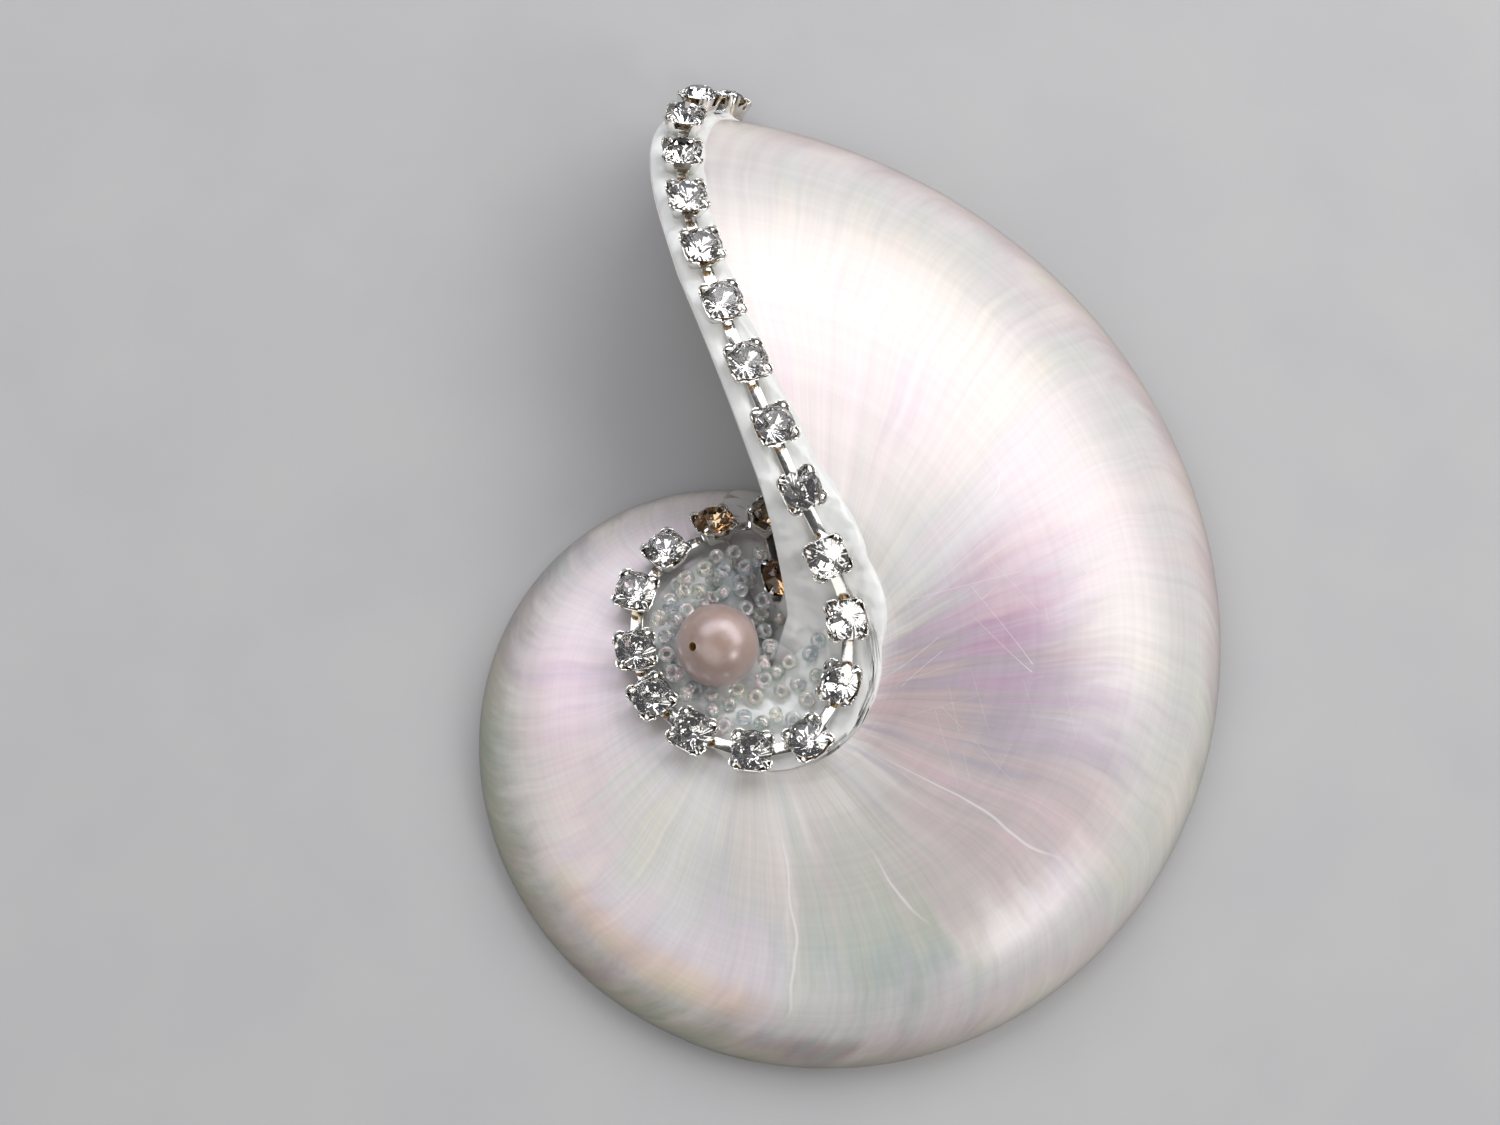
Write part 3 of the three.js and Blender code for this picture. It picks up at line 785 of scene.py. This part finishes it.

# Stones
# Cut glass with a flat table, an eight-sided crown and a pointed back. The back is silvered as
# a mirror and coated with gold-brown lacquer, which shows through the windows of the cup. The
# three stones in the shade of the lip get amber silvering: a painted reflection of the warm
# shade under the lip.
stone_radius = 2.1
girdle_low = 2.0
girdle_high = 2.12
amber_reflection_stones = (21, 22, 23)
stone_turn = 0.2
stone_tilt = 0.04
facet_angle = 0.02
# Each ring of corners: how many, turned by how much of a side, its radius and its height
stone_rings = [
    (8, 0.5, 1.16, 2.93),
    (8, 0.0, 1.68, 2.58),
    (16, 0.0, stone_radius, girdle_high),
    (16, 0.0, stone_radius, girdle_low),
    (8, 0.0, 0.12, 0.52),
]

glass, tree, body, object_place = new_finish("cut_glass")
dust = noise_at(tree, object_place, 1500.0, 3.0)
connect(tree, body, {
    "Base Color": ramp(tree, dust, [(0.3, (1, 1, 1)), (0.8, (0.96, 0.97, 0.98))]),
    "Roughness": to_range(tree, dust, 0.0, 0.03, 0.6, 0.8), "Transmission Weight": 1, "IOR": 1.6,
})


def lacquered_foil(name, mirror_stops):
    """Gold-brown lacquer outside; seen through the stone, the silvering of the given colours."""
    foil, tree, body, object_place = new_finish(name)
    crackle = noise_at(tree, object_place, 1100.0, 3.0)
    lacquer = ramp(tree, crackle, [(0.35, (0.20, 0.10, 0.035)), (0.6, (0.62, 0.42, 0.20))])
    mirror = ramp(tree, crackle, mirror_stops)
    backs = add(tree, "NewGeometry").outputs["Backfacing"]
    connect(tree, body, {
        "Base Color": mix(tree, backs, lacquer, mirror),
        "Roughness": to_range(tree, crackle, 0.0, 0.03), "Metallic": 1,
    })
    return foil


foil = lacquered_foil("mirror_foil", [(0.3, (0.97, 0.96, 0.95)), (0.7, (0.94, 0.92, 0.90))])
# Amber silvering for the stones under the lip: a painted reflection of the warm shade there.
amber_reflection_foil = lacquered_foil("painted_amber_reflection_foil", [(0.3, (0.95, 0.74, 0.50)), (0.7, (0.80, 0.52, 0.28))])

chance = random.Random(5)
for index, place in enumerate(frames):
    label = f"{index + 1:02d}"
    bm = bmesh.new()
    for count, shift, radius, height in stone_rings:
        ring = bmesh.ops.create_circle(bm, segments=count, radius=radius)["verts"]
        turn = Matrix.Rotation(math.tau * shift / count, 3, "Z")
        bmesh.ops.rotate(bm, verts=ring, cent=(0, 0, 0), matrix=turn)
        bmesh.ops.translate(bm, verts=ring, vec=(0, 0, height))
    bmesh.ops.delete(bm, geom=bm.edges[:], context="EDGES_FACES")
    bmesh.ops.convex_hull(bm, input=bm.verts[:])
    bmesh.ops.dissolve_limit(bm, angle_limit=facet_angle, verts=bm.verts[:], edges=bm.edges[:])
    for face in bm.faces:
        face.material_index = 1 if face.calc_center_median().z < girdle_low + 0.01 else 0
    turn = Matrix.Rotation(chance.uniform(-stone_turn, stone_turn), 4, "Z")
    nod = Matrix.Rotation(chance.uniform(-stone_tilt, stone_tilt), 4, "X")
    roll = Matrix.Rotation(chance.uniform(-stone_tilt, stone_tilt), 4, "Y")
    tilt = nod @ roll
    middle = Matrix.Translation((0, 0, girdle_low))
    bmesh.ops.transform(bm, matrix=place @ middle @ tilt @ turn @ middle.inverted(), verts=bm.verts)
    bmesh.ops.recalc_face_normals(bm, faces=bm.faces)
    stone = mesh_object(bm, f"cut_stone_{label}")
    stone.data.materials.append(glass)
    stone.data.materials.append(amber_reflection_foil if index + 1 in amber_reflection_stones else foil)
    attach(stone, "root")
    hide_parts(f"stone_{label}")

# Glue
# Clear glue gone milky. It was laid as a thick bed in the hollow and as a band under the chain,
# from the edge of the lip to a little beyond the cups, widest where the chain starts to coil.
glue_rise = 0.55
glue_root = 0.2
bed_first = math.radians(-256)
bed_last = math.radians(38)
bed_inset = 1.6
bed_middle = 0.2
bed_edge_rise = 0.15
bed_rise = 0.85
bed_lumps = 0.3

glue, tree, body, object_place = new_finish("milky_glue")
cloud = noise_at(tree, object_place, 260.0, 3.0)
lumps = noise_at(tree, object_place, 700.0, 2.0)
connect(tree, body, {
    "Base Color": ramp(tree, cloud, [(0.3, (0.88, 0.90, 0.88)), (0.7, (0.96, 0.96, 0.94))]),
    "Roughness": to_range(tree, cloud, 0.08, 0.3), "Normal": bump_from(tree, lumps, 0.2, 0.0003),
    "Transmission Weight": 0.14, "IOR": 1.46,
})


def between(table, place):
    """Straight-line value at a place, from pairs in rising order."""
    for (first, low_value), (last, high_value) in zip(table, table[1:]):
        if place <= last:
            share = (place - first) / (last - first)
            return low_value + (high_value - low_value) * min(1, max(0, share))
    return table[-1][1]


def glue_sheet(name, long_count, wide_count, place_at, limit):
    """A closed sheet: place_at gives the foot on the shell, the way up and the height."""
    bm = bmesh.new()
    rise_layer = bm.verts.layers.float_vector.new("rise")
    grid = bmesh.ops.create_grid(bm, x_segments=long_count, y_segments=wide_count, size=0.5)
    made = grid["verts"]
    for vert in made:
        foot, normal, rise = place_at(vert.co.x + 0.5, vert.co.y + 0.5)
        vert.co = foot - normal * glue_root
        vert[rise_layer] = normal * (rise + glue_root)
    region = made + list({part for vert in made for part in (*vert.link_edges, *vert.link_faces)})
    top = bmesh.ops.extrude_face_region(bm, geom=region)["geom"]
    for vert in verts_in(top):
        vert.co += Vector(vert[rise_layer])
    bmesh.ops.remove_doubles(bm, verts=bm.verts, dist=weld)
    bmesh.ops.recalc_face_normals(bm, faces=bm.faces)
    sheet = mesh_object(bm, name)
    smooth_by_angle(sheet, limit)
    sheet.data.materials.append(glue)
    return sheet


# How far round the coil the glue reaches at each distance from the axis, in degrees, and beyond
# that how far past the chain it runs at each way up the lip, in millimetres
coil_reach = [
    (1.5, -150), (9.2, -150), (10.0, -112), (10.3, -50), (10.6, -20), (11, 9), (13, 30),
    (14.2, 47), (16, 57), (18, 66), (21, 75),
]
edge_by_turn = sorted((turn, reach) for reach, turn in coil_reach[1:])
chain_by_way = [(way, turn) for turn, way in chain_stations[:11]]
past_by_way = [(0.05, 2.5), (0.2, 2.7), (0.45, 2.9), (0.54, 3.4), (0.6, 5.0)]
band_rounding = 1.7
glue_sink = 0.16
band_first_way = 0.93
band_ways = 0.91
band_last_way = 0.995
lip_clear = 0.002
lip_overlap = 0.15
edge_waver = 0.35
edge_wavers = 21
# From this far from the axis, and over this length inwards, the band turns from following the
# spiral to keeping its distance from the axis
level_first = 25
level_length = 11


def way_of(share):
    if share < crown_ratio:
        return crown_way + (1 - crown_way) * (1 - share / crown_ratio)
    out = min(1.0, (share - crown_ratio) / (1 - crown_ratio))
    return crown_way * math.acos(out ** (flank_power / 2)) / (math.pi / 2)


def band_glue_at(along, across):
    way = band_first_way - band_ways * along
    left = lip_angle - growth_lag(way) - lip_clear
    radius, height, share = section(left, way)
    if radius < coil_reach[-1][0]:
        right = math.radians(between(coil_reach, radius))
    else:
        right = math.radians(between(chain_by_way, way)) - between(past_by_way, way) / radius
    waver = noise.noise(Vector((along * edge_wavers, 3, 0)))
    right -= edge_waver * waver / max(2, radius) ** 0.9
    angle = left + (right - left) * across
    level = min(1, max(0, (level_first - radius) / level_length))
    level = level * level * (3 - 2 * level)
    share += (radius / venter_radius(angle) - share) * level
    way_here = min(band_last_way, way_of(share))
    foot = on_shell(angle, way_here)
    inward = min((left - angle) * radius + lip_overlap, (angle - right) * radius)
    if math.degrees(angle) < edge_by_turn[-1][0]:
        inward = min(inward, between(edge_by_turn, math.degrees(angle)) - radius)
    rounding = math.sqrt(1 - (1 - min(1, max(0, inward / band_rounding))) ** 2)
    lump = 1 + 0.5 * noise.noise(foot * 0.4) + 0.25 * noise.noise(foot * 1.1)
    ends = min(1, along * 30, (1 - along) * 20)
    rise = (glue_rise + glue_sink) * rounding * lump * ends - glue_sink
    return foot, shell_normal(angle, way_here), rise


def bed_reach(angle):
    coil = [
        (math.radians(turn), section(math.radians(turn), way)[0])
        for turn, way in chain_stations[10:22]
    ]
    coil.reverse()
    return between(coil, angle) - bed_inset


def bed_glue_at(along, across):
    angle = bed_first + (bed_last - bed_first) * along
    radius = bed_middle + (bed_reach(angle) - bed_middle) * across
    foot = polar(angle, radius, height_at(angle, radius))
    lump = noise.noise(foot * 0.45) + 0.4 * noise.noise(foot * 1.4)
    edge = min(1, (1 - across) * 5)
    return foot, Vector((0, 0, 1)), bed_edge_rise + (bed_rise + bed_lumps * lump) * edge


lip_glue = glue_sheet("glue_band", 220, 36, band_glue_at, 50)
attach(lip_glue, "root")

bed_glue = glue_sheet("glue_bed", 120, 30, bed_glue_at, 60)
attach(bed_glue, "root")
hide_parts("glue")

# Pearl
# A cultured pearl of mauve and peach, not quite round, with the mouth of its drill hole open
# to the left and traces of gilt round it. It sits in the beads beside the axis.
pearl_radius = 4.25
pearl_hole = 0.45
pearl_place = Vector((-5.6, 2.6, 12.9))
pearl_axis = Vector((-0.66, -0.19, 0.73)).normalized()
pearl_arc_steps = 48
pearl_turn_steps = 72
hole_floor = pearl_radius * 0.6
hole_mouth = pearl_radius * 0.985
gilt_reach = 1.15
round_reach = 1.2
unroundness = 0.012

pearl_finish, tree, body, object_place = new_finish("mauve_pearl")
bands = noise_at(tree, object_place, 160.0, 2.0)
speck = noise_at(tree, object_place, 1500.0, 3.0)
mauve_peach = [(0.3, (0.38, 0.26, 0.20)), (0.5, (0.41, 0.295, 0.25)), (0.7, (0.42, 0.31, 0.30))]
speck_amount = to_range(tree, speck, 0.0, 0.3, 0.5, 0.8)
connect(tree, body, {
    "Base Color": mix(tree, speck_amount, ramp(tree, bands, mauve_peach), (0.50, 0.41, 0.42, 1)),
    "Roughness": to_range(tree, speck, 0.30, 0.42), "Normal": bump_from(tree, bands, 0.15, 0.0004),
    "Metallic": 0.05, "Coat Weight": 0.45, "Coat Roughness": 0.24, "IOR": 1.65,
    "Specular IOR Level": 1.0, "Specular Tint": (0.88, 0.86, 1.0, 1),
    "Sheen Weight": 0.35, "Sheen Roughness": 0.3, "Sheen Tint": (0.85, 0.75, 0.95, 1),
})

gilt, tree, body, object_place = new_finish("gilt_rim")
worn = noise_at(tree, object_place, 2400.0, 3.0)
connect(tree, body, {
    "Base Color": ramp(tree, worn, [(0.35, (0.30, 0.16, 0.05)), (0.65, (0.70, 0.48, 0.20))]),
    "Metallic": 0.7, "Roughness": 0.35,
})

bm = bmesh.new()
hole_turn = math.asin(pearl_hole / pearl_radius)
profile = [(0, hole_floor), (pearl_hole * 0.9, hole_floor), (pearl_hole * 0.95, hole_mouth)]
for step in range(pearl_arc_steps + 1):
    turn = hole_turn + (math.pi - hole_turn) * step / pearl_arc_steps
    profile.append((pearl_radius * math.sin(turn), pearl_radius * math.cos(turn)))
line = [bm.verts.new((radius, 0, height)) for radius, height in profile]
edges = [bm.edges.new(pair) for pair in zip(line, line[1:])]
bmesh.ops.spin(bm, geom=line + edges, cent=(0, 0, 0), axis=(0, 0, 1), angle=math.tau,
               steps=pearl_turn_steps, use_merge=True)
bmesh.ops.remove_doubles(bm, verts=bm.verts, dist=0.001)
for face in bm.faces:
    middle = face.calc_center_median()
    face.material_index = 1 if middle.xy.length < pearl_hole * gilt_reach and middle.z > 0 else 0
for vert in bm.verts:
    if vert.co.xy.length > pearl_hole * round_reach:
        vert.co *= 1 - unroundness * (1 + noise.noise(vert.co * 0.22))
turn = Vector((0, 0, 1)).rotation_difference(pearl_axis).to_matrix().to_4x4()
bmesh.ops.transform(bm, matrix=Matrix.Translation(pearl_place) @ turn, verts=bm.verts)
bmesh.ops.recalc_face_normals(bm, faces=bm.faces)
pearl = mesh_object(bm, "drilled_pearl")
smooth_by_angle(pearl, 50)
pearl.data.materials.append(pearl_finish)
pearl.data.materials.append(gilt)
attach(pearl, "root")
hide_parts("pearl")

# Seed beads
# Clear glass beads just under 2 mm with a rainbow coat, cut from a drawn tube and tumbled round.
# They were poured into the wet glue, so they lie at all angles, deep in the back of the hollow
# and sparse on the slope beside the lip.
bead_radius = 1.0
bead_hole = 0.38
bead_half_length = 0.66
bead_turn_steps = 14
# Half of a bead's outline, from its hole to its widest: radius, and share of its half length
bead_profile = [
    (bead_hole, 0.55), (bead_hole * 1.25, 0.9), (0.68, 1), (0.92, 0.7), (bead_radius, 0),
]
bead_sizes = (0.8, 0.96)
bead_stretches = (0.85, 1.1)
bead_lean = 0.8
bead_tries = 14000
sparse_tries = 1500
bead_apart = 1.72
bead_nesting = 0.9
bead_tuck = 0.35
bead_rest = 1.5
bead_top = 2.2
bead_from_pearl = 0.8
bead_from_edge = 0.8
bead_from_cup = 3.0
poured_x = (-16, 12)
poured_y = (-10, 18)
# The pile rises towards the back of the hollow over this part of the turn
pile_first = math.radians(-150)
pile_turn = math.radians(55)
pile_rise = 1.1
pile_top = 1.3

bead_glass, tree, body, object_place = new_finish("rainbow_glass")
tint_value = add(tree, "Attribute", attribute_name="tint").outputs["Fac"]
tint = ramp(tree, tint_value, [
    (0.0, (0.90, 0.97, 0.94)), (0.35, (0.98, 0.99, 0.99)), (0.6, (0.88, 0.95, 0.99)),
    (0.8, (0.97, 0.98, 0.90)), (1.0, (0.98, 0.93, 0.97)),
])
haze = noise_at(tree, object_place, 900.0, 2.0)
connect(tree, body, {
    "Base Color": tint, "Roughness": to_range(tree, haze, 0.0, 0.14), "Transmission Weight": 0.78,
    "IOR": 1.5, "Thin Film Thickness": 420, "Thin Film IOR": 1.8,
})


def add_bead(bm, size, stretch):
    others = set(bm.verts)
    upper = [(radius, bead_half_length * share) for radius, share in bead_profile]
    lower = [(radius, -height) for radius, height in reversed(upper[:-1])]
    line = [bm.verts.new((radius, 0, height * stretch)) for radius, height in upper + lower]
    edges = [bm.edges.new(pair) for pair in zip(line, line[1:] + line[:1])]
    bmesh.ops.spin(bm, geom=line + edges, cent=(0, 0, 0), axis=(0, 0, 1), angle=math.tau,
                   steps=bead_turn_steps, use_merge=True)
    verts = [vert for vert in bm.verts if vert not in others]
    bmesh.ops.scale(bm, verts=verts, vec=(size,) * 3)
    return verts


def surface_height(x, y):
    """Shell under a bead: the inner whorl in front of the lip, the last one behind it."""
    radius = math.hypot(x, y)
    angle = math.atan2(y, x)
    lip_line = lip_angle - growth_lag(way_of(radius / venter_radius(lip_angle)))
    if angle > lip_line + bead_tuck / radius:
        angle -= math.tau
    elif angle > bed_last:
        return None, None, None
    return height_at(angle, radius), angle, radius


chance = random.Random(23)
placed = []
cup_places = [place.translation.xy for place in frames[10:23]]
for attempt in range(bead_tries):
    x = chance.uniform(*poured_x)
    y = chance.uniform(*poured_y)
    ground, angle, radius = surface_height(x, y)
    if ground is None or radius > bed_reach(angle) - bead_from_edge:
        continue
    if min((cup - Vector((x, y))).length for cup in cup_places) < bead_from_cup:
        continue
    pile = pile_rise * min(1, max(0, (pile_first - angle) / pile_turn))
    rest = ground + bead_rest
    for other in placed:
        apart = math.hypot(x - other[0], y - other[1])
        if apart < bead_apart:
            nested = math.sqrt(bead_apart ** 2 - apart ** 2) * bead_nesting
            rest = max(rest, other[2] + nested)
    if (Vector((x, y, rest)) - pearl_place).length < pearl_radius + bead_from_pearl:
        continue
    if rest - ground > bead_top + pile * pile_top:
        continue
    if pile == 0 and attempt > sparse_tries:
        continue
    placed.append((x, y, rest))

bm = bmesh.new()
tint_layer = bm.verts.layers.float.new("tint")
for x, y, z in placed:
    verts = add_bead(bm, chance.uniform(*bead_sizes), chance.uniform(*bead_stretches))
    tint_share = chance.random()
    for vert in verts:
        vert[tint_layer] = tint_share
    spin = Matrix.Rotation(chance.uniform(0, math.tau), 4, "Z")
    lean = Matrix.Rotation(chance.gauss(0, bead_lean), 4, "X")
    bmesh.ops.transform(bm, matrix=Matrix.Translation((x, y, z)) @ (spin @ lean), verts=verts)
bmesh.ops.recalc_face_normals(bm, faces=bm.faces)
beads = mesh_object(bm, "seed_beads")
beads.data.shade_smooth()
beads.data.materials.append(bead_glass)
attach(beads, "root")
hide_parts("bead_bed")

# Floor and light
# A plain pale table top under four soft lights and an even grey room. There is a broad window on
# the upper right and one on the upper left, a small window on the lower right, and a weaker
# broad fill from the lower left.
floor_size = 1500
floor_drop = 0.03
floor_finish, tree, body, object_place = new_finish("pale_table")
grain = noise_at(tree, object_place, 60.0, 3.0)
table_greys = [(0.3, (0.43, 0.43, 0.435)), (0.7, (0.455, 0.455, 0.455))]
connect(tree, body, {"Base Color": ramp(tree, grain, table_greys), "Roughness": 0.8})
bm = bmesh.new()
bmesh.ops.create_grid(bm, x_segments=1, y_segments=1, size=floor_size)
bmesh.ops.translate(bm, verts=bm.verts, vec=(0, 0, -floor_drop))
floor = mesh_object(bm, "floor")
floor.data.materials.append(floor_finish)


def soft_light(name, azimuth, elevation, distance, width, height, power, colour):
    data = bpy.data.lights.new(name, "AREA")
    data.shape = "RECTANGLE"
    data.size = width
    data.size_y = height
    data.energy = power
    data.color = colour
    light = bpy.data.objects.new(name, data)
    scene.collection.objects.link(light)
    turn, lift = math.radians(azimuth), math.radians(elevation)
    level = math.cos(lift)
    way_out = Vector((math.cos(turn) * level, math.sin(turn) * level, math.sin(lift)))
    light.location = light_aim + way_out * distance
    light.rotation_euler = way_out.to_track_quat("Z", "Y").to_euler()


# Each light: azimuth and elevation in degrees, distance, width and height in metres, power, colour
light_aim = Vector((0.01, 0.01, 0))
soft_light("window", 36, 44, 0.7, 0.9, 0.42, 4.0, (1.0, 0.99, 0.985))
soft_light("small_window", -41, 35, 0.7, 0.2, 0.16, 0.8, (1.0, 1.0, 1.0))
soft_light("left_window", 112, 46, 0.8, 0.9, 0.5, 3.6, (0.93, 0.94, 1.0))
soft_light("low_fill", -130, 48, 0.9, 1.1, 0.7, 3.0, (1.0, 0.98, 0.96))
world = bpy.data.worlds.new("room")
scene.world = world
world.use_nodes = True
room = world.node_tree.nodes["Background"]
connect(world.node_tree, room, {"Color": (0.66, 0.67, 0.70, 1), "Strength": 0.11})
scene.view_settings.view_transform = "Standard"
